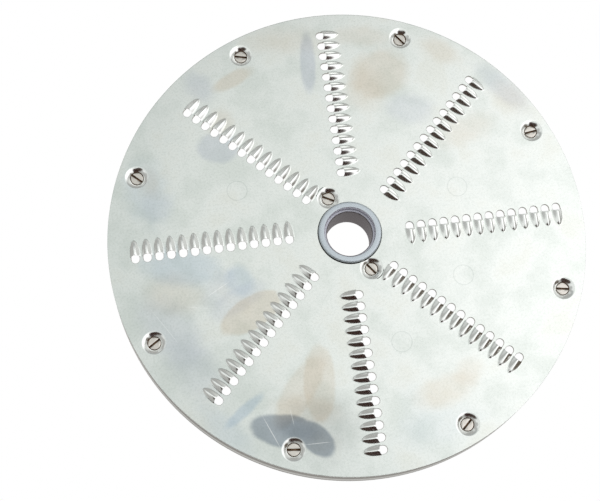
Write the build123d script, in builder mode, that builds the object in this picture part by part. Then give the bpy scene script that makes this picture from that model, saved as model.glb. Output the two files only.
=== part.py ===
from build123d import *
import os
from math import cos, pi, sin, sqrt

os.makedirs("parts", exist_ok=True)

# Grating disc of a vegetable cutter, millimetres, +Z up. The origin is the centre of the
# drive bore on the lower face of the hub. The grating face lies level with the teeth up.

# Steel grating sheet.
sheet_diameter = 204.6
sheet_thickness = 0.8
face_height = 18.0

# Rows of teeth at even angles. Opposite rows start at the same radius and the others a
# quarter of a pitch on from each other, so that the tracks of the rows lie interleaved.
row_count = 8
teeth_per_row = 14
tooth_pitch = 5.0
first_tooth_radius = 23.5
quarter_steps = (2, 1, 3, 0)

# One tooth: a hole, round in front, with a hollow scoop behind it that falls to a tip. The
# scoop has the section of a roof with a narrow flat ridge, and is blunt at the tip.
hole_width = 3.4
hole_setback = 0.1
mouth_setback = 1.65
scoop_width = 4.24
scoop_height = 1.4
scoop_ridge = 1.6
scoop_sink = 0.4
scoop_foot = 0.3
scoop_length = 6.1
scoop_tip_wall = 0.6
slim_share = 0.68

# Slotted countersunk screws that hold the sheet, and the dimples that they sit in.
rim_screw_circle = 188.4
hub_screw_circle = 36.0
head_diameter = 5.3
head_land = 0.3
thread_diameter = 3.0
screw_length = 9.0
slot_width = 0.8
slot_depth = 0.9
dimple_diameter = 9.2
dimple_hole_diameter = 4.0
seat_clearance = 0.05
thread_clearance = 0.15

# Cast wheel under the sheet: rim with a skirt, spokes between the rows, screw bosses, and
# a hub with a collar above the sheet, a stepped bore and a slot for the shaft's driving pin.
rim_setback = 0.3
skirt_height = 13.0
skirt_wall = 2.5
skirt_flare = 1.3
rim_ledge_width = 5.5
rim_ledge_thickness = 3.0
spoke_depth = 8.5
spoke_width_at_hub = 6.6
spoke_width_at_rim = 5.0
boss_diameter = 11.0
boss_depth = 11.0
hub_plate_diameter = 42.0
hub_plate_thickness = 5.0
barrel_diameter = 35.0
collar_diameter = 27.0
collar_rise = 1.5
sheet_to_collar = 0.3
recess_diameter = 21.7
recess_depth = 3.3
bore_diameter = 19.5
drive_slot_width = 4.0
drive_slot_depth = 1.8

# Small round features that repeat have this many flat sides, sized to the same area.
small_sides = 10
boss_sides = 8
thread_sides = 8

# Radii, heights and angles that follow from the sizes above.
sheet_radius = sheet_diameter / 2
sheet_under = face_height - sheet_thickness
row_angle = 360 / row_count
wheel_top = sheet_under
skirt_bottom = face_height - skirt_height
rim_top_radius = sheet_radius - rim_setback
skirt_bottom_radius = rim_top_radius + skirt_flare
skirt_inner_radius = skirt_bottom_radius - skirt_wall
ledge_inner_radius = rim_top_radius - rim_ledge_width
ledge_under = wheel_top - rim_ledge_thickness
spoke_bottom = wheel_top - spoke_depth
collar_radius = collar_diameter / 2
collar_top = face_height + collar_rise
bore_top = collar_top - recess_depth
# The dimples have 45 degree cones, so what lies in a dimple is as deep under the face as its
# edge is in from the edge of the dimple, and the cone under the sheet is this much wider.
under_cone_gain = sheet_thickness * (sqrt(2) - 1)
head_seat = face_height - (dimple_diameter - head_diameter) / 2 + 2 * seat_clearance
head_top = head_seat + head_land
# The scoop's section goes on below the face with the same slope, to stand in the sheet.
scoop_slope = (scoop_width - scoop_ridge) / 2 / scoop_height
base_width = scoop_width + 2 * scoop_slope * scoop_sink
# A scoop's side goes through a point of a quarter ellipse, at this share of its length: the
# slim pyramid runs there from the mouth and the blunt one from there to the tip.
waist = sqrt(1 - slim_share**2)
slim_length = scoop_length * slim_share / (1 - waist)
blunt_size = waist / (1 - slim_share)
screw_angles = [row_angle * (n + 0.5) for n in range(row_count)]
hub_screw_angles = [row_angle * 2.5, row_angle * 6.5]
row_starts = [
    first_tooth_radius + tooth_pitch / 4 * quarter_steps[n % len(quarter_steps)]
    for n in range(row_count)
]
# How far the slot of each screw came to rest from the x axis: rim screws, then hub screws.
slot_turns = (8, -53, -13, -43, 32, -7, 42, -10, -28, -53)

screw_spots = [
    Location((0, 0, 0), (0, 0, angle)) * Location((radius, 0, 0))
    for radius, angles in (
        (rim_screw_circle / 2, screw_angles),
        (hub_screw_circle / 2, hub_screw_angles),
    )
    for angle in angles
]
tooth_spots = [
    Location((0, 0, 0), (0, 0, row_angle * row))
    * Location((row_starts[row] + tooth_pitch * n, -hole_setback, face_height))
    for row in range(row_count)
    for n in range(teeth_per_row)
]


def flat_round(diameter, sides=small_sides):
    """A regular polygon with the area of the circle of this diameter."""
    area_ratio = sides * sin(2 * pi / sides) / 2 / pi
    return RegularPolygon(diameter / 2 / sqrt(area_ratio), sides)


def countersink(diameter, height):
    """A 45 degree cone with flat sides, this wide at the stated height, pointing down."""
    with BuildPart() as form:
        with BuildSketch(Plane.XY.offset(height)):
            mouth = flat_round(diameter)
        apex = Vertex(0, 0, height - mouth.radius)
        loft([form.pending_faces.pop(), apex], ruled=True)
    return form.part


def scoop_pyramid(size, foot, start, length):
    """A pyramid along the tooth from the section of a scoop, of this size, to a tip."""
    with BuildPart() as form:
        with BuildSketch(Plane((0, -start, -scoop_sink), (1, 0, 0), (0, -1, 0))):
            half, ridge = size * base_width / 2, size * scoop_ridge / 2
            top = size * (scoop_height + scoop_sink)
            Polygon(
                (half, -foot), (half, 0), (ridge, top), (-ridge, top), (-half, 0), (-half, -foot),
                align=None,
            )
        tip = Vertex(0, -start - length, -scoop_sink)
        loft([form.pending_faces.pop(), tip], ruled=True)
    return form.part


# The outside of a scoop is slim over most of its length and blunt at the tip, which is what
# a slim and a blunt pyramid have in common.
with BuildPart() as scoop_outside:
    add(scoop_pyramid(1, scoop_foot, mouth_setback, slim_length))
    add(
        scoop_pyramid(blunt_size, scoop_foot * 2, mouth_setback, scoop_length),
        mode=Mode.INTERSECT,
    )

# The hollow is as wide as the hole, and opens the sheet from below as far as it reaches.
scoop_inside = scoop_pyramid(
    hole_width / base_width,
    sheet_thickness + scoop_height,
    mouth_setback - seat_clearance,
    scoop_length - scoop_tip_wall,
)

# The hole: half round towards the front, straight from there to the mouth of the scoop.
with BuildPart() as tooth_hole:
    with BuildSketch(Plane.XY.offset(-2 * scoop_height)):
        front = [
            (hole_width / 2 * cos(pi * n / 4), hole_width / 2 * sin(pi * n / 4))
            for n in range(5)
        ]
        Polygon(
            (hole_width / 2, -mouth_setback),
            *front,
            (-hole_width / 2, -mouth_setback),
            align=None,
        )
    extrude(amount=4 * scoop_height)

# The sheet: a flat disc with dimples round the screws and the rows of teeth.
with BuildPart() as grating_sheet:
    with BuildSketch(Plane.XZ):
        Polygon(
            (collar_radius + sheet_to_collar, face_height),
            (sheet_radius, face_height),
            (sheet_radius, sheet_under),
            (collar_radius + sheet_to_collar, sheet_under),
            align=None,
        )
    revolve(axis=Axis.Z)
    with Locations(*screw_spots):
        add(countersink(dimple_diameter + 2 * under_cone_gain, sheet_under))
    with Locations(*screw_spots):
        add(countersink(dimple_diameter, face_height), mode=Mode.SUBTRACT)
    with BuildSketch(Plane.XY):
        with Locations(*screw_spots):
            flat_round(dimple_hole_diameter)
        Circle(collar_radius + sheet_to_collar)
    extrude(amount=2 * face_height, mode=Mode.SUBTRACT)
    with Locations(*tooth_spots):
        add(scoop_outside.part)
    with Locations(*tooth_spots):
        add(scoop_inside, mode=Mode.SUBTRACT)
    with Locations(*tooth_spots):
        add(tooth_hole.part, mode=Mode.SUBTRACT)

# The cast wheel: rim with its skirt, spokes between the rows, bosses and the hub.
with BuildPart() as carrier_wheel:
    with BuildSketch(Plane.XZ):
        Polygon(
            (ledge_inner_radius, wheel_top),
            (rim_top_radius, wheel_top),
            (skirt_bottom_radius, skirt_bottom),
            (skirt_inner_radius, skirt_bottom),
            (skirt_inner_radius, ledge_under),
            (ledge_inner_radius, ledge_under),
            align=None,
        )
        Polygon(
            (recess_diameter / 2, collar_top),
            (collar_radius, collar_top),
            (collar_radius, wheel_top),
            (hub_plate_diameter / 2, wheel_top),
            (hub_plate_diameter / 2, wheel_top - hub_plate_thickness),
            (barrel_diameter / 2, wheel_top - hub_plate_thickness),
            (barrel_diameter / 2, 0),
            (bore_diameter / 2, 0),
            (bore_diameter / 2, bore_top),
            (recess_diameter / 2, bore_top),
            align=None,
        )
    revolve(axis=Axis.Z)
    with BuildSketch(Plane.XY.offset(spoke_bottom)):
        spoke_start = barrel_diameter / 2 - 2
        spoke_end = ledge_inner_radius + 1
        with PolarLocations(0, row_count, start_angle=row_angle / 2):
            Polygon(
                (spoke_start, spoke_width_at_hub / 2),
                (spoke_end, spoke_width_at_rim / 2),
                (spoke_end, -spoke_width_at_rim / 2),
                (spoke_start, -spoke_width_at_hub / 2),
                align=None,
            )
    extrude(amount=spoke_depth)
    with BuildSketch(Plane.XY.offset(wheel_top - boss_depth)):
        with Locations(*screw_spots):
            flat_round(boss_diameter, boss_sides)
    extrude(amount=boss_depth)
    with Locations(*screw_spots):
        add(
            countersink(
                dimple_diameter + 2 * under_cone_gain + 4 * seat_clearance, wheel_top
            ),
            mode=Mode.SUBTRACT,
        )
    with BuildSketch(Plane.XY.offset(head_top - screw_length - 0.5)):
        with Locations(*screw_spots):
            flat_round(thread_diameter + 2 * thread_clearance, thread_sides)
    extrude(amount=screw_length, mode=Mode.SUBTRACT)
    with BuildSketch(Plane.XY):
        with Locations(Location((0, 0, 0), (0, 0, screw_angles[3]))):
            Rectangle(barrel_diameter + 2, drive_slot_width)
    extrude(amount=drive_slot_depth, mode=Mode.SUBTRACT)

# One slotted countersunk screw, on the axis.
with BuildPart() as screw_form:
    with BuildSketch(Plane.XY.offset(head_seat)):
        flat_round(head_diameter)
    extrude(amount=head_land)
    add(countersink(head_diameter, head_seat))
    with BuildSketch(Plane.XY.offset(head_top - screw_length)):
        flat_round(thread_diameter, thread_sides)
    extrude(amount=screw_length - head_land)
    with BuildSketch(Plane.XY.offset(head_top)):
        Rectangle(head_diameter + 1, slot_width)
    extrude(amount=-slot_depth, mode=Mode.SUBTRACT)

# The ten like screws of the sheet, each turned as far as its slot stands.
with BuildPart() as sheet_screws:
    for spot, turn in zip(screw_spots, slot_turns):
        with Locations(Location(spot.position, (0, 0, turn))):
            add(screw_form.part)

parts = {
    "grating_sheet": grating_sheet,
    "carrier_wheel": carrier_wheel,
    "sheet_screws": sheet_screws,
}
for name, builder in parts.items():
    builder.part.label = name
    export_step(builder.part, f"parts/{name}.step")
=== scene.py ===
"""Grating disc of a vegetable cutter: the steel sheet with its teeth, its screws and cast wheel."""

import bpy
import numpy as np
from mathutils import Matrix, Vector
from mathutils.geometry import delaunay_2d_cdt


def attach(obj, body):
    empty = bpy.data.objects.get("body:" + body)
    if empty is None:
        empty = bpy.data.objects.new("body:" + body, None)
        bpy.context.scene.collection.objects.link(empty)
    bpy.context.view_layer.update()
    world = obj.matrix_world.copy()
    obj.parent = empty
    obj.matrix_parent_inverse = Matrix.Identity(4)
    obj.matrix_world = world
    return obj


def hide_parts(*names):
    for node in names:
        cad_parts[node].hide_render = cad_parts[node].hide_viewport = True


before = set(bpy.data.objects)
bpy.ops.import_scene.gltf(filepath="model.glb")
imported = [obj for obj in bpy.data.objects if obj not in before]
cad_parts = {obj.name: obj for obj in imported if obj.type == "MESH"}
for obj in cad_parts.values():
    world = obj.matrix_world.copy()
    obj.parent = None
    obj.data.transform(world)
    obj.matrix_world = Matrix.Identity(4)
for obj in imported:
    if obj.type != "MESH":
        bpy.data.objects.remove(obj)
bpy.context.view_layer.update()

# Sizes in millimetres and degrees. They are as in the CAD, but the teeth are longer here, the
# dimples wider and the hub hole closer to the collar. The sheet's face is at the height FACE.
MM = 0.001
ROUND = 256
FACE = 18.0
THICK = 0.8
SHEET_R = 102.3
SHEET_ROLL = 0.3
HUB_HOLE_R = 13.6

# The rows of teeth. A tooth lies along Y in its row's own frame, with the middle of its round
# hole at 0, its mouth behind that at MOUTH and its tip SCOOP_L further back.
ROWS = 8
ROW_ANGLE = 360.0 / ROWS
TEETH = 14
PITCH = 5.0
ROW_STARTS = (26.0, 24.75, 27.25, 23.5) * 2
HOLE_R = 1.7
HOLE_SHIFT = -0.1
HOLE_ROLL = 0.16
MOUTH = -1.0
MOUTH_BULGE = 0.65
MOUTH_LIP = 0.95
SCOOP_W = 2.12
MOUTH_W = SCOOP_W * 1.07
SCOOP_H = 1.38
SCOOP_L = 7.1
SCOOP_TAPER = 2.4
SCOOP_WALL = 0.5
HOLLOW_H = SCOOP_H - SCOOP_WALL
HOLLOW_L = SCOOP_L - 0.5
STRIP_BACK = -9.2

# The screws and their dimples.
DIMPLE_R = 5.0
DIMPLE_RING_R = 5.3
DIMPLE_SIDES = 40
SEAT_R = 2.9
RIM_SCREW_R = 94.2
HUB_SCREW_R = 18.0
HEAD_R = 2.65
HEAD_TOP = 16.45
HEAD_FOOT_R = HEAD_R - 0.6
SLOT_DEPTH = 0.9
SLOT_HALF = 0.42
SLOT_TURNS = (8, -53, -13, -43, 32, -7, 42, -10, -28, -53)

# The wheel.
WHEEL_TOP = 17.15
DRIVE_SLOT_HALF = 2.0
DRIVE_SLOT_DEPTH = 1.8
DRIVE_SLOT_ANGLE = ROW_ANGLE * 3.5
SPOKE_START = 16.8
SPOKE_END = 97.3
SPOKE_FOOT = 8.7

screw_angles = np.radians(ROW_ANGLE * (np.array([*range(ROWS), 2, 6]) + 0.5))
screw_radii = np.array([RIM_SCREW_R] * ROWS + [HUB_SCREW_R] * 2)
screw_spots = np.stack(
    [screw_radii * np.cos(screw_angles), screw_radii * np.sin(screw_angles)], -1
)

# Shapes: every surface is a patch, its points and its faces as two arrays.


def grid(x, y, z, closed=False):
    """Quads over three equal grids. They face to rows x columns; closed joins the last row."""
    x, y, z = np.broadcast_arrays(x, y, z)
    index = np.arange(x.size).reshape(x.shape)
    if closed:
        index = np.vstack([index, index[:1]])
    quads = np.stack([index[:-1, :-1], index[1:, :-1], index[1:, 1:], index[:-1, 1:]], -1)
    return np.stack([x, y, z], -1).reshape(-1, 3).astype(float), quads.reshape(-1, 4)


def turned(profile, sides=ROUND):
    """A profile of (r, z) points turned about Z: x = r cos a, y = r sin a.

    The profile runs up on an outer wall, inwards on a top face and down in a bore."""
    r, z = np.asarray(profile, float).T
    a = np.arange(sides)[:, None] * 2 * np.pi / sides
    return grid(r * np.cos(a), r * np.sin(a), z + 0 * a, closed=True)


def rounded(corners, radius, steps=5):
    """A closed profile with each corner cut back by its radius r and bent through a curve.

    Each corner C with its two cut-back points A and B becomes A(1-t)^2 + 2C t(1-t) + B t^2."""
    c = np.asarray(corners, float)
    r = np.broadcast_to(np.asarray(radius, float), len(c))[:, None]
    before, after = np.roll(c, 1, 0) - c, np.roll(c, -1, 0) - c
    a = c + before / np.linalg.norm(before, axis=1, keepdims=True) * r
    b = c + after / np.linalg.norm(after, axis=1, keepdims=True) * r
    t = np.linspace(0, 1, steps)[None, :, None]
    curve = a[:, None] * (1 - t) ** 2 + 2 * c[:, None] * t * (1 - t) + b[:, None] * t**2
    return np.vstack([curve.reshape(-1, 2), a[:1]])


def placed(patch, x, y, turn, z=0.0):
    """Copies of a patch, each turned about Z by its angle and then moved to its place."""
    points, quads = patch
    x, y, turn = np.broadcast_arrays(np.atleast_1d(x), y, turn)
    c, s = np.cos(turn)[:, None], np.sin(turn)[:, None]
    px, py, pz = points.T
    moved = np.stack(
        [c * px - s * py + x[:, None], s * px + c * py + y[:, None], pz + z + 0 * c], -1
    )
    shift = np.arange(len(x))[:, None, None] * len(points)
    return moved.reshape(-1, 3), (quads[None] + shift).reshape(-1, quads.shape[1])


def from_screw(points):
    """How far each point is in plan from the axis of the nearest screw."""
    return np.hypot(*(points[:, None, :2] - screw_spots).transpose(2, 0, 1)).min(1)


def flipped(patch):
    """The same faces seen from their other side."""
    return patch[0], patch[1][:, ::-1]


def piece(name, patches, material, slot, *nodes, rubbed=None):
    """One object of several patches, smooth within each, riding on the body.

    Rubbed, where given, says for each point how far the press or the screw has polished it."""
    verts, faces, start = [], [], 0
    for points, polygons in patches:
        verts.append(points)
        faces.append(polygons + start)
        start += len(points)
    sizes = np.concatenate([np.full(len(f), f.shape[1]) for f in faces])
    corners = np.concatenate([f.ravel() for f in faces])
    mesh = bpy.data.meshes.new(name)
    mesh.vertices.add(start)
    mesh.vertices.foreach_set("co", (np.vstack(verts) * MM).ravel())
    mesh.loops.add(len(corners))
    mesh.loops.foreach_set("vertex_index", corners)
    mesh.polygons.add(len(sizes))
    mesh.polygons.foreach_set("loop_start", np.concatenate([[0], np.cumsum(sizes)[:-1]]))
    mesh.polygons.foreach_set("use_smooth", np.ones(len(sizes), bool))
    mesh.update(calc_edges=True)
    mesh.validate()
    if rubbed is not None:
        mesh.attributes.new("rubbed", "FLOAT", "POINT").data.foreach_set("value", rubbed)
    mesh.materials.append(material)
    obj = bpy.data.objects.new(name, mesh)
    bpy.context.scene.collection.objects.link(obj)
    obj.modifiers.new("flat_faces_stay_flat", "WEIGHTED_NORMAL")
    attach(obj, "root")
    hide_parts(*nodes)


# The steel sheet.

tooth_row = np.repeat(np.arange(ROWS), TEETH)
tooth_turn = np.radians(ROW_ANGLE * tooth_row)
tooth_r = np.array(ROW_STARTS)[tooth_row] + PITCH * np.tile(np.arange(TEETH), ROWS)
tooth_x = tooth_r * np.cos(tooth_turn) - HOLE_SHIFT * np.sin(tooth_turn)
tooth_y = tooth_r * np.sin(tooth_turn) + HOLE_SHIFT * np.cos(tooth_turn)


def scoop_height(u, t, ridge=0.2, soft=0.06):
    """Height of a scoop, u across it and t behind its mouth: a roof with a rounded ridge.

    It is C * (1 - (root of (x^2 + ridge^2) - ridge) / (root of (1 + ridge^2) - ridge)), where
    x = u / W, the half width is W = SCOOP_W * (1 - (t / SCOOP_L)^SCOOP_TAPER)^0.5 and the crest
    is C = SCOOP_H * (1 - (t / SCOOP_L)^2)^0.6. The foot is eased into the sheet."""
    share = np.clip(t / SCOOP_L, 0, 1)
    x = u / (SCOOP_W * np.sqrt(1 - share**SCOOP_TAPER) + 1e-4)
    crest = SCOOP_H * (1 - share**2) ** 0.6
    roof = 1 - (np.sqrt(x**2 + ridge**2) - ridge) / (np.sqrt(1 + ridge**2) - ridge)
    eased = np.where(roof < soft, np.clip(roof + soft, 0, None) ** 2 / (4 * soft), roof)
    return crest * eased


def mouth_line(u):
    """Where the mouth lies in plan: MOUTH, less an arc MOUTH_BULGE deep and as wide as the hole."""
    return MOUTH - MOUTH_BULGE * np.sqrt(np.clip(1 - (u / HOLE_R) ** 2, 0, 1))


def scoop_skin():
    """The outside of one scoop and the strip of sheet that belongs to it.

    Across it, u = MOUTH_W * s / 0.9 * (1 - (tau / 0.87)^3)^0.5, and the outermost columns are the
    strip's two sides. Along it, tau goes from 0 at the mouth to 1 at the strip's end."""
    s = np.array([-1, -0.9, -0.8, -0.6, -0.4, -0.24, -0.12, 0, 0.12, 0.24, 0.4, 0.6, 0.8, 0.9, 1])
    tau = np.array([0, 0.015, 0.12, 0.27, 0.42, 0.56, 0.67, 0.75, 0.805, 0.85, 0.9, 1])
    size = np.sqrt(1 - np.clip(tau / 0.87, 0, 0.94) ** 3)[:, None]
    u = MOUTH_W * size * s / 0.9
    u = np.where(np.abs(s) > 0.91, np.sign(s) * PITCH / 2, u)
    front = mouth_line(u)
    y = front + (STRIP_BACK - front) * tau[:, None]
    z = scoop_height(u, MOUTH - y)
    z[0] *= MOUTH_LIP
    return grid(u, y, z)


def rubbed_skin(points):
    """How far a scoop's skin is polished: wholly where it stands up, and not on the flat."""
    return np.clip(points[:, 2] / 0.15, 0, 1)


def mouth_rim():
    """The cut edge round a scoop's mouth, between the roof outside and the hollow inside.

    The hollow's edge is half an ellipse: u = HOLE_R * s and z = HOLLOW_H * (1 - s^2)^0.5."""
    s = np.sin(np.linspace(-1, 1, 13) * np.pi / 2)
    outer_u, inner_u = MOUTH_W * s, HOLE_R * s
    outer = scoop_height(outer_u, MOUTH - mouth_line(outer_u)) * MOUTH_LIP
    inner = HOLLOW_H * np.sqrt(1 - s**2)
    x = np.stack([inner_u, outer_u])
    return grid(x, mouth_line(x), np.stack([np.minimum(inner, outer), outer]))


def scoop_hollow():
    """The inside of one scoop, an arch that sinks to nothing behind the mouth.

    Its size is q = (1 - share^SCOOP_TAPER)^0.5, with x = HOLE_R q cos a and z = HOLLOW_H q sin a,
    and its two lower edges go down to the sheet's underside."""
    share = np.linspace(0, 1, 6)[:, None]
    a = np.linspace(0, np.pi, 11)[None]
    size = np.sqrt(1 - share**SCOOP_TAPER)
    x = HOLE_R * size * np.cos(a)
    front = mouth_line(x)
    y = front + (MOUTH - HOLLOW_L - front) * share
    z = HOLLOW_H * size * np.sin(a)
    z = np.where((a < 0.01) | (a > np.pi - 0.01), -THICK, z)
    return grid(x, y, z)


def hole_path(radius, columns=15):
    """Plan of a tooth's hole: straight sides from the mouth and a half round in front."""
    a = np.linspace(0, np.pi, columns)
    x = np.concatenate([[radius], radius * np.cos(a), [-radius]])
    y = np.concatenate([[MOUTH], radius * np.sin(a), [MOUTH]])
    return x, y


def hole_wall():
    """The wall of a tooth's hole, with its upper edge drawn over a little."""
    out = np.array([HOLE_ROLL, 0.05, 0.0])
    z = np.array([0.0, -0.05, -THICK])
    paths = [hole_path(HOLE_R + step) for step in out]
    x, y = (np.stack(side, -1) for side in zip(*paths))
    return flipped(grid(x, y, z))


def inside(loop, points):
    """Which points lie in a closed loop: those with an odd count of its sides to the right."""
    x0, y0 = loop.T
    x1, y1 = np.roll(loop, -1, 0).T
    px, py = points[:, :1], points[:, 1:]
    crosses = (y0 > py) != (y1 > py)
    rise = np.where(y1 == y0, 1, y1 - y0)
    return (crosses & (px < x0 + (py - y0) * (x1 - x0) / rise)).sum(1) % 2 == 1


def flat_area(outer, holes, z):
    """A level face inside the outer loop and outside all holes, cut into triangles."""
    loops = [outer, *holes]
    starts = np.cumsum([0] + [len(loop) for loop in loops])
    points = [Vector(p) for p in np.vstack(loops)]
    edges = [
        (start + n, start + (n + 1) % len(loop))
        for start, loop in zip(starts, loops)
        for n in range(len(loop))
    ]
    verts, _, triangles, *_ = delaunay_2d_cdt(points, edges, [], 0, 1e-5)
    verts, triangles = np.array([tuple(v) for v in verts]), np.array(triangles)
    middle = verts[triangles].mean(1)
    keep = inside(outer, middle)
    for hole in holes:
        keep &= ~inside(hole, middle)
    a, b, c = verts[triangles].transpose(1, 0, 2)
    area = (b[:, 0] - a[:, 0]) * (c[:, 1] - a[:, 1]) - (b[:, 1] - a[:, 1]) * (c[:, 0] - a[:, 0])
    triangles = np.where((area < 0)[:, None], triangles[:, ::-1], triangles)[keep]
    return np.column_stack([verts, np.full(len(verts), z)]), triangles


def circle(radius, sides, x=0.0, y=0.0):
    """Points evenly round a circle."""
    a = np.arange(sides) * 2 * np.pi / sides
    return np.stack([x + radius * np.cos(a), y + radius * np.sin(a)], -1)


def in_plan(x, y, turn, dx, dy):
    """Points (x, y) turned about Z and moved."""
    c, s = np.cos(turn), np.sin(turn)
    return np.stack([c * x - s * y + dx, s * x + c * y + dy], -1)


def row_outline(row):
    """Outline of a row of teeth: the strip of the scoops with all its holes in front."""
    r = ROW_STARTS[row] + PITCH * np.arange(TEETH)
    low, high = r[0] - PITCH / 2, r[-1] + PITCH / 2
    hx, hy = hole_path(HOLE_R + HOLE_ROLL)
    x = np.concatenate([[low, high, high], (r[::-1, None] + hx).ravel(), [low]])
    y = np.concatenate([[STRIP_BACK, STRIP_BACK, MOUTH], np.tile(hy, TEETH), [MOUTH]])
    return in_plan(x, y + HOLE_SHIFT, np.radians(ROW_ANGLE * row), 0, 0)


def hollow_outline(x, y, turn):
    """Outline, from below, of a tooth's hole and of the hollow behind it."""
    hx, hy = hole_path(HOLE_R)
    share = np.linspace(0, 1, 6)[1:]
    half = HOLE_R * np.sqrt(1 - share**SCOOP_TAPER)
    back = MOUTH - share * HOLLOW_L
    lx = np.concatenate([hx, -half, half[::-1][1:]])
    ly = np.concatenate([hy, back, back[::-1][1:]])
    return in_plan(lx, ly, turn, x, y)


def dimple(spot):
    """One dimple: its face above, the dark gap down to its hole, and its face below.

    The depth is 0.42 (DIMPLE_R - r)^1.5, with a step of 0.5 mm in from SEAT_R round the screw's
    head. Points within the hub hole are first pushed out to its edge."""
    r = np.array([DIMPLE_RING_R, 5.15, 5.0, 4.8, 4.5, 4.2, 3.8, 3.4, 3.05, SEAT_R, 2.7, 2.3, 2.0])
    seat = 9
    a = np.arange(DIMPLE_SIDES)[:, None] * 2 * np.pi / DIMPLE_SIDES
    x, y = spot[0] + r * np.cos(a), spot[1] + r * np.sin(a)
    push = np.maximum(1, HUB_HOLE_R / np.hypot(x, y))
    x, y = x * push, y * push
    away = np.hypot(x - spot[0], y - spot[1])
    fall = 0.42 * np.clip(DIMPLE_R - away, 0, None) ** 1.5
    fall += 0.5 * np.clip((SEAT_R - away) / 0.2, 0, 1)
    z = FACE - fall
    top = grid(x[:, : seat + 1], y[:, : seat + 1], z[:, : seat + 1], closed=True)
    gap = grid(x[:, seat:], y[:, seat:], z[:, seat:], closed=True)
    wall = np.stack([fall[:, -1], fall[:, -1] + THICK], -1)
    hole = grid(x[:, -1:], y[:, -1:], FACE - wall, closed=True)
    below = flipped(grid(x, y, FACE - THICK - np.minimum(fall, 2.7), closed=True))
    return top, [gap, hole], below


steel_edge = turned(
    [
        (SHEET_R - SHEET_ROLL, FACE - THICK),
        (SHEET_R, FACE - THICK + 0.05),
        (SHEET_R, FACE - 0.14),
        (SHEET_R - 0.04, FACE - 0.05),
        (SHEET_R - 0.14, FACE - 0.01),
        (SHEET_R - SHEET_ROLL, FACE),
    ]
)
hub_hole_edge = turned(
    [
        (HUB_HOLE_R + SHEET_ROLL, FACE),
        (HUB_HOLE_R + 0.1, FACE - 0.03),
        (HUB_HOLE_R, FACE - 0.15),
        (HUB_HOLE_R, FACE - THICK),
    ]
)
sheet_outline = circle(SHEET_R - SHEET_ROLL, ROUND)
dimple_rings = [circle(DIMPLE_RING_R, DIMPLE_SIDES, *spot) for spot in screw_spots]
top_face = flat_area(
    sheet_outline,
    [circle(HUB_HOLE_R + SHEET_ROLL, ROUND), *dimple_rings, *map(row_outline, range(ROWS))],
    FACE,
)
under_face = flipped(
    flat_area(
        sheet_outline,
        [
            circle(HUB_HOLE_R, ROUND),
            *dimple_rings,
            *map(hollow_outline, tooth_x, tooth_y, tooth_turn),
        ],
        FACE - THICK,
    )
)
pressed = [dimple(spot) for spot in screw_spots]
dimples = [top for top, _, _ in pressed]
gaps = [patch for _, dark, _ in pressed for patch in dark]
underside = [under_face, *(below for _, _, below in pressed)]
skin = scoop_skin()
teeth = placed(skin, tooth_x, tooth_y, tooth_turn, FACE)
cut_edges = [
    placed(patch, tooth_x, tooth_y, tooth_turn, FACE)
    for patch in (mouth_rim(), scoop_hollow(), hole_wall())
]

# Screws.


def half_head():
    """Half of a slotted head: top, chamfer and side to the slot's depth, then the slot wall.

    Across the top, x = R cos a and y = g + (R sin a - g) * share, for a slot of half width g."""
    gap, chamfer, inner = SLOT_HALF, 0.06, HEAD_FOOT_R / HEAD_R
    start = np.arcsin(gap / HEAD_R)
    a = np.linspace(start, np.pi - start, 15)[:, None]
    share = np.array([0.0, 0.06, 0.5, 0.92, 1.0, 1.0, 1.0])
    depth = np.array([chamfer, 0.0, 0.0, 0.0, 0.1, 0.3, SLOT_DEPTH])
    size = np.array([1.0, 1.0, 1.0, 1.0, 1.0, 1.0, inner])
    x = HEAD_R * np.cos(a) * size
    y = gap + (np.maximum(HEAD_R * np.sin(a) * size, gap) - gap) * share
    face = flipped(grid(x, y, HEAD_TOP - depth + 0 * x))
    wx = np.stack([x[:, 0], x[:, 0] * inner])
    wz = HEAD_TOP - np.array([[chamfer], [SLOT_DEPTH]]) + 0 * wx
    return [face, flipped(grid(wx, gap + 0 * wx, wz))]


def screw():
    """One slotted screw on the axis: the two halves of its head, and its slot, cone and shank."""
    halves = half_head()
    other = [placed(patch, 0, 0, np.pi) for patch in halves]
    floor = HEAD_TOP - SLOT_DEPTH
    lower = turned(
        [
            (0.01, 7.5),
            (1.2, 7.5),
            (1.5, 7.8),
            (1.5, floor - 0.6),
            (HEAD_FOOT_R, floor - 0.02),
            (HEAD_FOOT_R, floor),
            (0.01, floor),
        ],
        32,
    )
    return [halves[0], other[0]], [halves[1], other[1], lower]


heads, slots = (
    [placed(patch, screw_spots[:, 0], screw_spots[:, 1], np.radians(SLOT_TURNS)) for patch in part]
    for part in screw()
)

# The cast wheel.


def pocketed(patch, reach=6.0, deepest=3.4):
    """Under each dimple, the wheel's top sinks to a 45 degree cone.

    The cone is at the height WHEEL_TOP - (reach - r), and no deeper than its flat foot."""
    points, quads = patch
    x, y, z = points.T
    sunk = np.minimum(z, WHEEL_TOP - np.clip(reach - from_screw(points), 0, deepest))
    upper = (z > 12) & (z <= WHEEL_TOP + 0.01)
    return np.column_stack([x, y, np.where(upper, sunk, z)]), quads


def along(profile, longest):
    """The same closed profile with points added so that no step of it is longer than this."""
    start, end = profile[:-1], profile[1:]
    counts = np.ceil(np.linalg.norm(end - start, axis=1) / longest).astype(int).clip(1)
    share = np.concatenate([np.arange(n) / n for n in counts])[:, None]
    step = np.repeat(np.arange(len(counts)), counts)
    return np.vstack([start[step] + share * (end - start)[step], profile[:1]])


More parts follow.
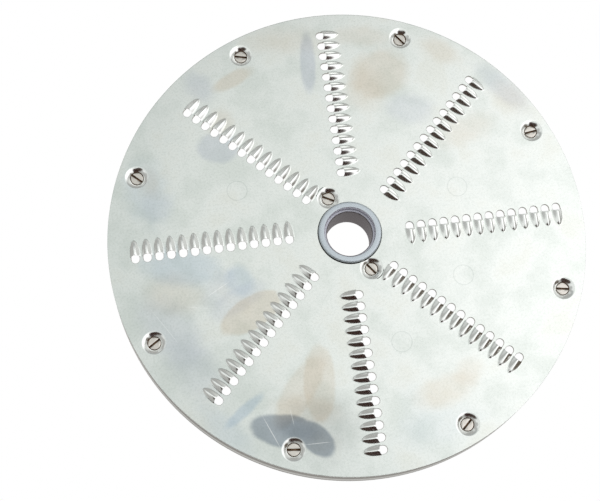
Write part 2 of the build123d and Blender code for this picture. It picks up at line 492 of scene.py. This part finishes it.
rim_profile = rounded(
    [
        (96.5, 14.2),
        (100.8, 14.2),
        (100.8, 5.0),
        (103.3, 5.0),
        (102.05, WHEEL_TOP),
        (96.5, WHEEL_TOP),
    ],
    [0.4, 0.8, 0.5, 0.6, 0.3, 0.4],
)
rim = pocketed(turned(along(rim_profile, 1.2), ROUND))
hub_profile = rounded(
    [
        (9.75, 0.0),
        (17.5, 0.0),
        (17.5, 12.2),
        (21.0, 12.2),
        (21.0, WHEEL_TOP),
        (13.5, WHEEL_TOP),
        (13.5, 19.5),
        (10.85, 19.5),
        (10.85, 16.2),
        (9.75, 16.2),
    ],
    [0.5, 0.8, 0.5, 0.5, 0.3, 0.2, 0.95, 0.35, 0.2, 0.35],
)


def slotted(profile):
    """A profile turned about Z as in turned, with the drive slot cut straight across its foot.

    At the radius r a wall of the slot is at the angle w = asin(h / r) from the slot's line. The
    half width h is a little less on the slot's floor than at its edge, so its walls have some
    draft. The columns of points in the slot are at w s, for s from -1 to 1, and none of their
    points is lower than depth + 0.03 z. The others are at w + (90 - w) s, for s from 0 to 1,
    and mirrored."""
    r, z = profile.T
    floor, edge = np.arcsin((DRIVE_SLOT_HALF - 0.04) / r), np.arcsin(DRIVE_SLOT_HALF / r)
    inner = floor * np.sin(np.linspace(-np.pi / 2, np.pi / 2, 9))[:, None]
    outer = edge + (np.pi / 2 - edge) * (np.linspace(0, 1, 30) ** 1.25)[:, None]
    half = np.vstack([inner, outer, np.pi - outer[-2::-1]])
    cut = np.tile(np.arange(len(half)) < len(inner), 2)[:, None]
    a = np.vstack([half, half + np.pi]) + np.radians(DRIVE_SLOT_ANGLE)
    deep = np.where(cut, np.maximum(z, DRIVE_SLOT_DEPTH + 0.03 * z), z)
    return grid(r * np.cos(a), r * np.sin(a), deep, closed=True)


hub = pocketed(slotted(along(hub_profile, 1.2)))


def spoke():
    """One spoke along X: a rounded bar whose width falls evenly from the hub to the rim."""
    x = np.linspace(SPOKE_START, SPOKE_END, 96)[:, None]
    half = 3.3 - 0.8 * (x - SPOKE_START) / (SPOKE_END - SPOKE_START)
    corners = [(-1, SPOKE_FOOT), (1, SPOKE_FOOT), (1, WHEEL_TOP), (-1, WHEEL_TOP)]
    ring = along(rounded(corners, [0.3, 0.3, 0.1, 0.1]), 0.5)
    return grid(x + 0 * ring[:, 0], half * ring[:, 0], ring[:, 1] + 0 * x)


spokes = pocketed(placed(spoke(), 0, 0, screw_angles[:ROWS]))
boss = turned(
    [
        (1.65, 6.6),
        (1.65, 6.2),
        (5.2, 6.2),
        (5.5, 6.5),
        (5.5, 16.4),
        (4.6, 16.4),
        (1.65, 13.45),
        (1.65, 6.6),
    ],
    32,
)
bosses = placed(boss, screw_spots[:, 0], screw_spots[:, 1], 0.0)

# Finishes.


def linear(code):
    """A hex sRGB colour as linear red, green, blue and alpha."""
    c = np.array([int(code[n : n + 2], 16) for n in (1, 3, 5)]) / 255
    c = np.where(c <= 0.04045, c / 12.92, ((c + 0.055) / 1.055) ** 2.4)
    return (*c.tolist(), 1.0)


def add(tree, kind, settings, output=0):
    """Adds a node with its settings and links, and returns one of its outputs.

    A setting is named for a property of the node, or is the name or number of an input. There
    an output is linked, and a plain value is set."""
    node = tree.nodes.new("ShaderNode" + kind)
    for name, value in settings.items():
        if isinstance(value, bpy.types.NodeSocket):
            tree.links.new(value, node.inputs[name])
        elif isinstance(name, str) and hasattr(node, name):
            setattr(node, name, value)
        else:
            node.inputs[name].default_value = value
    return node.outputs[output]


def coat(tree, tone, tint, limits, share=1.0, blend="MIX"):
    """A tint laid over a tone, or multiplied onto it, where a point is within all the limits.

    Each limit is a value and where it starts and is wholly met, with a smooth step between."""
    for value, start, met in limits:
        step = {"Value": value, "From Min": start, "From Max": met, "To Max": share}
        share = add(tree, "MapRange", {"interpolation_type": "SMOOTHSTEP", **step})
    colors = {"Factor": share, 6: tone, 7: linear(tint) if isinstance(tint, str) else tint}
    return add(tree, "Mix", {"data_type": "RGBA", "blend_type": blend, **colors}, 2)


def finish(name, **sockets):
    """A new material with its shader, whose plain sockets are set by name."""
    material = bpy.data.materials.new(name)
    material.use_nodes = True
    shader = material.node_tree.nodes["Principled BSDF"]
    for socket, value in sockets.items():
        shader.inputs[socket.replace("_", " ")].default_value = value
    return material, material.node_tree, shader


# Marks on the sheet, in plan: place, half length, half width, turn, tint, share and softness.
STRAW = "#F4ECE4"
SKY = "#DCE6F3"
LILAC = "#E5E7F0"
SLATE = "#9CA5B4"
GREY = "#DADBDB"
BRIGHT = "#FFFFFF"
STAINS = (
    (-7, 80, 3.4, 14, -5, LILAC, 0.85, 0.25),
    (-41, 76, 9.5, 3.4, 24, STRAW, 0.9, 0.3),
    (-49, 56, 5.4, 6, -7, STRAW, 0.55, 0.5),
    (-51, 45, 9, 7, -7, LILAC, 0.75, 0.2),
    (-83, 28, 8.5, 14, 8, SKY, 0.4, 0.5),
    (-80, 22, 6, 7, 0, LILAC, 0.3, 0.4),
    (-82, 34, 3.5, 6, 10, STRAW, 0.4, 0.5),
    (-16, 92, 15, 6, -4, STRAW, 0.45, 0.7),
    (-56, 74, 5, 7, 30, LILAC, 0.6, 0.6),
    (-72, -6, 16, 8, -14, SKY, 0.6, 0.4),
    (-77, -17, 11, 8, -10, STRAW, 0.55, 0.5),
    (-49, -15, 5.4, 7, 20, SKY, 0.6, 0.35),
    (-79, -33, 17, 9, -52, LILAC, 0.5, 0.5),
    (-58, -17, 9, 5, 50, LILAC, 0.4, 0.5),
    (-46, -29, 14, 6.8, 26, STRAW, 0.95, 0.1),
    (-51, -23, 13, 5, 26, LILAC, 0.45, 0.3),
    (-72, -49, 15, 8, -56, LILAC, 0.4, 0.5),
    (-22, -62, 6.5, 16, -6, STRAW, 0.7, 0.12),
    (-30.5, -64, 17, 6, 50, STRAW, 0.65, 0.2),
    (-29, -72, 13, 5.5, -14, STRAW, 0.5, 0.4),
    (-54, -69, 9, 2.2, 34, SKY, 0.75, 0.4),
    (-62, -76, 12, 5, -50, SKY, 0.35, 0.6),
    (24, 71, 13, 11, 20, STRAW, 0.8, 0.25),
    (16, 64, 9, 9, 0, STRAW, 0.5, 0.5),
    (19, 90, 12, 4.5, -10, STRAW, 0.5, 0.5),
    (53, 79, 9, 5, -38, STRAW, 0.6, 0.5),
    (35, 53, 10, 7, -15, LILAC, 0.5, 0.4),
    (58, 40, 12, 6, 16, STRAW, 0.5, 0.6),
    (78, 58, 14, 5, -52, LILAC, 0.6, 0.5),
    (80, 53, 8, 6, -50, STRAW, 0.45, 0.6),
    (29, -72, 12, 6, 12, STRAW, 0.6, 0.45),
    (40, -66, 6, 5, 30, STRAW, 0.5, 0.5),
    (24, -86, 16, 7, 8, SKY, 0.2, 0.6),
    (15, -78, 6, 11, 0, SKY, 0.1, 0.6),
    (-33.5, -79, 9, 4.2, -20, SLATE, 0.3, 0.5),
    (-22, -80, 13, 12, 0, GREY, 0.7, 0.7),
)

# The one dark stain is three lobes in one: place, half length, half width and turn.
DARK_STAIN = (
    (-40, -79, 13.2, 6.6, -19),
    (-26.5, -84, 9.5, 5.6, -50),
    (-35, -78.8, 9.5, 5.6, -24),
)

# Fine scratches: place, half length, half width, turn and share.
SCRATCHES = (
    (-44, -79, 7.2, 0.16, -68, 0.5),
    (-35, -74, 3.6, 0.14, -84, 0.35),
    (-26, -86, 5.2, 0.16, -2, 0.4),
    (-30, -46, 3.0, 0.14, 38, 0.3),
    (-58, -17, 5.5, 0.22, 28, 0.45),
    (-67, -24, 6.5, 0.16, -12, 0.3),
    (-82, -30, 9.0, 0.14, -58, 0.3),
    (62, 12, 5.0, 0.14, -34, 0.25),
)

# Widths in millimetres of the stains' ragged edges, of the clouds and of the metal's grain. The
# real grain is finer than the picture can show, and is drawn about a millimetre wide.
RAGGED_WIDTH = 6.25
CLOUD_WIDTH = 20.0
GRAIN_WIDTH = 0.909

# Where the fixing from behind has left its rings: their angles, place and radius.
WITNESS_ANGLES = (16.4, 151.4, 286.4, 331.4)
WITNESS_PLACE = 51.6
WITNESS_R = 4.3


def marked_and_shaded_steel(tree, tone):
    """Lays the used sheet's clouds, stains, scratches and witness rings, and painted shade, over
    its tone.

    A stain ends round where the length of the plan position, in units of its two half axes and
    with some noise added, is one. A witness ring is a line on both sides of one."""
    place = add(tree, "TexCoord", {}, "Object")
    plan = add(tree, "Mapping", {"Vector": place, "Scale": (1 / MM, 1 / MM, 0)})
    ragged, clouds, grain = (
        add(
            tree,
            "TexNoise",
            {"Vector": plan, "Scale": 1 / width, "Detail": detail, "Roughness": 0.55},
            "Fac",
        )
        for width, detail in ((RAGGED_WIDTH, 3), (CLOUD_WIDTH, 4), (GRAIN_WIDTH, 3))
    )
    ragged = add(tree, "Math", {"operation": "SUBTRACT", 0: ragged, 1: 0.5})

    def away(x, y, a, b, turn):
        """The length of the plan position from a place, in units of two turned half axes."""
        spot = {
            "Vector": plan,
            "vector_type": "TEXTURE",
            "Location": (x, y, 0),
            "Rotation": (0, 0, np.radians(turn)),
            "Scale": (a, b, 1),
        }
        local = add(tree, "Mapping", spot)
        return add(tree, "VectorMath", {"operation": "LENGTH", 0: local}, "Value")

    tone = coat(tree, tone, "#E6EAE7", [(clouds, 0.42, 0.66)], 0.55, "MULTIPLY")
    tone = coat(tree, tone, "#F4F1EA", [(clouds, 0.5, 0.32)], 0.4, "MULTIPLY")
    # Painted shade: darker from 84 to 130 mm away from a spot right of the middle, towards the left
    # rim.
    tone = coat(tree, tone, "#D2D7D8", [(away(30, 12, 1, 1, 0), 84, 130)], 0.3, "MULTIPLY")
    for *spot, tint, share, soft in STAINS:
        uneven = {0: ragged, 1: 0.175 + 0.98 * soft, 2: away(*spot)}
        edge = add(tree, "Math", {"operation": "MULTIPLY_ADD", **uneven})
        tone = coat(tree, tone, tint, [(edge, 1 + soft, 1 - soft)], share, "MULTIPLY")
    left, right, middle = (away(*lobe) for lobe in DARK_STAIN)
    edge = add(tree, "Math", {"operation": "MINIMUM", 0: left, 1: right})
    edge = add(tree, "Math", {"operation": "MINIMUM", 0: edge, 1: middle})
    edge = add(tree, "Math", {"operation": "MULTIPLY_ADD", 0: ragged, 1: 0.175, 2: edge})
    tone = coat(tree, tone, SLATE, [(edge, 1.1, 0.84)], 0.72, "MULTIPLY")
    for *spot, share in SCRATCHES:
        tone = coat(tree, tone, BRIGHT, [(away(*spot), 1.3, 0.6)], share)
    for a in np.radians(WITNESS_ANGLES):
        x, y = WITNESS_PLACE * np.cos(a), WITNESS_PLACE * np.sin(a)
        ring = away(x, y, WITNESS_R, WITNESS_R, 0)
        line = [(ring, 0.93, 0.98), (ring, 1.07, 1.02)]
        tone = coat(tree, tone, "#C6CCCB", line, 0.3, "MULTIPLY")
    return coat(tree, tone, "#E6E8E6", [(grain, 0.42, 0.72)], 0.4, "MULTIPLY")


# Stainless sheet with a satin mill finish, clouded and stained by use: it mirrors the light
# softly, and is a pale grey with a little green.
SATIN_ROUGHNESS = 0.27
SATIN_TONE = linear("#F0F3F0")
satin_steel, tree, shader = finish(
    "satin_stainless_sheet", Metallic=1.0, Roughness=SATIN_ROUGHNESS
)
tone = marked_and_shaded_steel(tree, SATIN_TONE)
tree.links.new(tone, shader.inputs["Base Color"])

# The same sheet where the press tool has burnished it: whiter and glossier on the teeth.
pressed_steel, tree, shader = finish("burnished_pressed_steel", Metallic=1.0)
rub = add(tree, "Attribute", {"attribute_name": "rubbed"}, "Fac")
tone = coat(tree, marked_and_shaded_steel(tree, SATIN_TONE), "#FAFBF9", [], rub)
tree.links.new(tone, shader.inputs["Base Color"])
gloss = {"interpolation_type": "SMOOTHSTEP", "To Min": SATIN_ROUGHNESS, "To Max": 0.18}
tree.links.new(add(tree, "MapRange", {"Value": rub, **gloss}), shader.inputs["Roughness"])

# The sheet's underside, which is sheltered: an even satin without stains.
plain_steel, tree, shader = finish(
    "unmarked_satin_steel", Metallic=1.0, Roughness=0.3, Base_Color=linear("#E2E4E2")
)

# Sheared edges and the unpolished insides of the teeth, a little darker than the sheet.
raw_edge_steel, tree, shader = finish(
    "sheared_steel_edges", Metallic=1.0, Roughness=0.45, Base_Color=linear("#BAB7B0")
)

# Turned steel of the screws, a little yellow against the sheet.
screw_steel, tree, shader = finish(
    "turned_screw_steel", Metallic=1.0, Roughness=0.3, Base_Color=linear("#D8D3CC")
)

# The slots and gaps of the screws, matt: brown with rust and dried juice, and darkened as painted
# shade where they sink in.
browned_and_shaded_steel, tree, shader = finish(
    "browned_steel_gaps", Metallic=0.6, Roughness=0.6, Base_Color=linear("#80654C")
)

# Cast aluminium, dull and blue-grey with oxide. The recess is a little darker and the bore dark.
# The collar's side in the sheet's hole is nearly black with painted shade. The skirt is grey, with
# a pale band: above it, under the sheet's edge, is painted shade, and below it the skirt is darker.
cast_aluminium, tree, shader = finish("dull_cast_aluminium", Metallic=1.0, Roughness=0.5)
place = add(tree, "TexCoord", {}, "Object")
plan = add(tree, "Mapping", {"Vector": place, "Scale": (1 / MM, 1 / MM, 0)})
reach = add(tree, "VectorMath", {"operation": "LENGTH", 0: plan}, "Value")
height = add(tree, "SeparateXYZ", {0: place}, "Z")
level = add(tree, "Math", {"operation": "MULTIPLY", 0: height, 1: 1 / MM})
# Where the collar's side goes down into the sheet's hole, nearly black painted shade is laid.
collar_side_painted_shade = [(reach, 13.0, 13.3), (reach, 13.9, 13.6), (level, 18.9, 18.4), (level, 16.9, 17.1)]
skirt = (reach, 101, 101.8)
tone = linear("#D1D9E0")
for tint, limits in (
    ("#C8C8D2", [(reach, 11.2, 10.9)]),
    # The collar's side: painted shade.
    ("#332B28", collar_side_painted_shade),
    ("#5C5456", [(reach, 10.2, 9.9)]),
    ("#BEBDB8", [skirt]),
    # Painted shade on the skirt's upper part, under the sheet's edge.
    ("#85817A", [skirt, (level, 9.5, 12)]),
    # The skirt darker towards its foot.
    ("#85817A", [skirt, (level, 8, 6.5)]),
):
    tone = coat(tree, tone, tint, limits)
tree.links.new(tone, shader.inputs["Base Color"])

# The pieces: name, patches, finish, slot and the node that each one takes the place of.
rubbed_teeth = np.tile(rubbed_skin(skin[0]), len(tooth_x))
dimple_points = np.vstack([points for points, _ in dimples])
rubbed_dimples = np.clip((5.2 - from_screw(dimple_points)) / 0.9, 0, 1)
sheet = ("sheet_steel", "grating_sheet")
screws = ("screw_steel", "sheet_screws")
piece("sheet_face", [top_face, steel_edge, hub_hole_edge], satin_steel, *sheet)
piece("scoop_teeth", [teeth], pressed_steel, *sheet, rubbed=rubbed_teeth)
piece("screw_dimples", dimples, pressed_steel, *sheet, rubbed=rubbed_dimples)
piece("sheet_underside", underside, plain_steel, *sheet)
piece("cut_edges", cut_edges, raw_edge_steel, *sheet)
# The gaps round the screw heads, dark with painted shade.
piece("screw_seats", gaps, browned_and_shaded_steel, *sheet)
piece("screw_heads", heads, screw_steel, *screws)
# The screws' slots, dark with painted shade.
piece("screw_slots", slots, browned_and_shaded_steel, *screws)
piece("cast_wheel", [rim, hub, spokes, bosses], cast_aluminium, "cast_aluminium", "carrier_wheel")

# Floor, light and camera.

FLOOR_REACH = 3000.0
FLOOR_LEVEL = -0.3
ends = np.array([-FLOOR_REACH, FLOOR_REACH])
floor_points, floor_quad = grid(ends[:, None], ends, FLOOR_LEVEL)
floor_mesh = bpy.data.meshes.new("floor")
floor_mesh.from_pydata((floor_points * MM).tolist(), [], floor_quad.tolist())
floor = bpy.data.objects.new("floor", floor_mesh)
bpy.context.scene.collection.objects.link(floor)

# White paper, matt. It takes the light as paper does, and is seen as pure white.
white_floor, tree, shader = finish(
    "plain_white_floor", Base_Color=linear("#F2F2F2"), Roughness=0.9
)
seen = add(tree, "LightPath", {}, "Is Camera Ray")
for ray in ("Is Transmission Ray", "Is Glossy Ray"):
    also = add(tree, "LightPath", {}, ray)
    seen = add(tree, "Math", {"operation": "MAXIMUM", 0: seen, 1: also})
glow = add(tree, "Emission", {"Color": (1, 1, 1, 1), "Strength": 1.0})
both = add(tree, "MixShader", {0: seen, 1: shader.outputs[0], 2: glow})
tree.links.new(both, tree.nodes["Material Output"].inputs[0])
floor_mesh.materials.append(white_floor)

world = bpy.data.worlds.new("light_tent")
bpy.context.scene.world = world
world.use_nodes = True
tree = world.node_tree
way = add(tree, "TexCoord", {}, "Generated")
across, deep, height = (add(tree, "SeparateXYZ", {0: way}, axis) for axis in "XYZ")

# Round patches of the tent, each laid over those before it: zenith angle and azimuth of its
# middle, half angles at which it is whole and at which it ends, and colour.
TENT_PATCHES = (
    (92, 35, 22, 36, "#D2D4D1"),
    (58, 165, 9, 15, "#B4B6B4"),
    (73, 118, 8, 13, "#D0D3D1"),
    (50, 326, 10, 15, (1.1, 1.1, 1.1, 1.0)),
    (73, 328, 12, 18, "#5C5348"),
    (50, 278, 9, 15, "#44261F"),
    (60, 276, 12, 22, "#2E1A16"),
    (54, 250, 12, 22, "#33221C"),
    (47, 226, 12, 20, "#3A2D26"),
)

# A bright tent, whitest on the right. Grey walls stand low round it, and the dark room shows
# through its opening behind the viewer.
sky = (1.32, 1.32, 1.32, 1.0)
sky = coat(tree, sky, "#EBEEEC", [(across, 0.23, 0.09)])
sky = coat(tree, sky, "#ECEFED", [(deep, 0.29, 0.42)], 0.8)
sky = coat(tree, sky, "#ABAEAD", [(deep, 0.44, 0.6)])
sky = coat(tree, sky, "#ABABA8", [(height, 0.58, 0.4)])
for zenith, azimuth, whole, end, tint in TENT_PATCHES:
    up, around = np.radians([zenith, azimuth])
    aim = (np.sin(up) * np.cos(around), np.sin(up) * np.sin(around), np.cos(up))
    near = add(tree, "VectorMath", {"operation": "DOT_PRODUCT", 0: way, 1: aim}, "Value")
    sky = coat(tree, sky, tint, [(near, *np.cos(np.radians([end, whole])))])
sky = coat(tree, sky, (1.0, 1.0, 1.0, 1.0), [], add(tree, "LightPath", {}, "Is Camera Ray"))
tree.links.new(sky, tree.nodes["Background"].inputs["Color"])

# The camera stands where the rows of teeth line up with the picture, which is cut off centre.
# Its focal length and the shifts of its middle are in pixels of a picture 600 wide, and its
# place is given from the middle of the sheet's face.
PICTURE_WIDTH = 600.0
FOCAL_PIXELS = 1070.0
SHIFT_PIXELS = (-40.5, -3.9)
EYE = (-49.75, -117.64, 438.95)
EYE_TURN = (14.9467, -3.6405, -8.4454)
lens = bpy.data.cameras.new("camera")
lens.sensor_width = 36.0
lens.lens = FOCAL_PIXELS * lens.sensor_width / PICTURE_WIDTH
lens.shift_x, lens.shift_y = (shift / PICTURE_WIDTH for shift in SHIFT_PIXELS)
camera = bpy.data.objects.new("camera", lens)
camera.location = (EYE[0] * MM, EYE[1] * MM, (EYE[2] + FACE) * MM)
camera.rotation_euler = np.radians(EYE_TURN).tolist()
bpy.context.scene.collection.objects.link(camera)
bpy.context.scene.camera = camera
bpy.context.scene.view_settings.view_transform = "Standard"
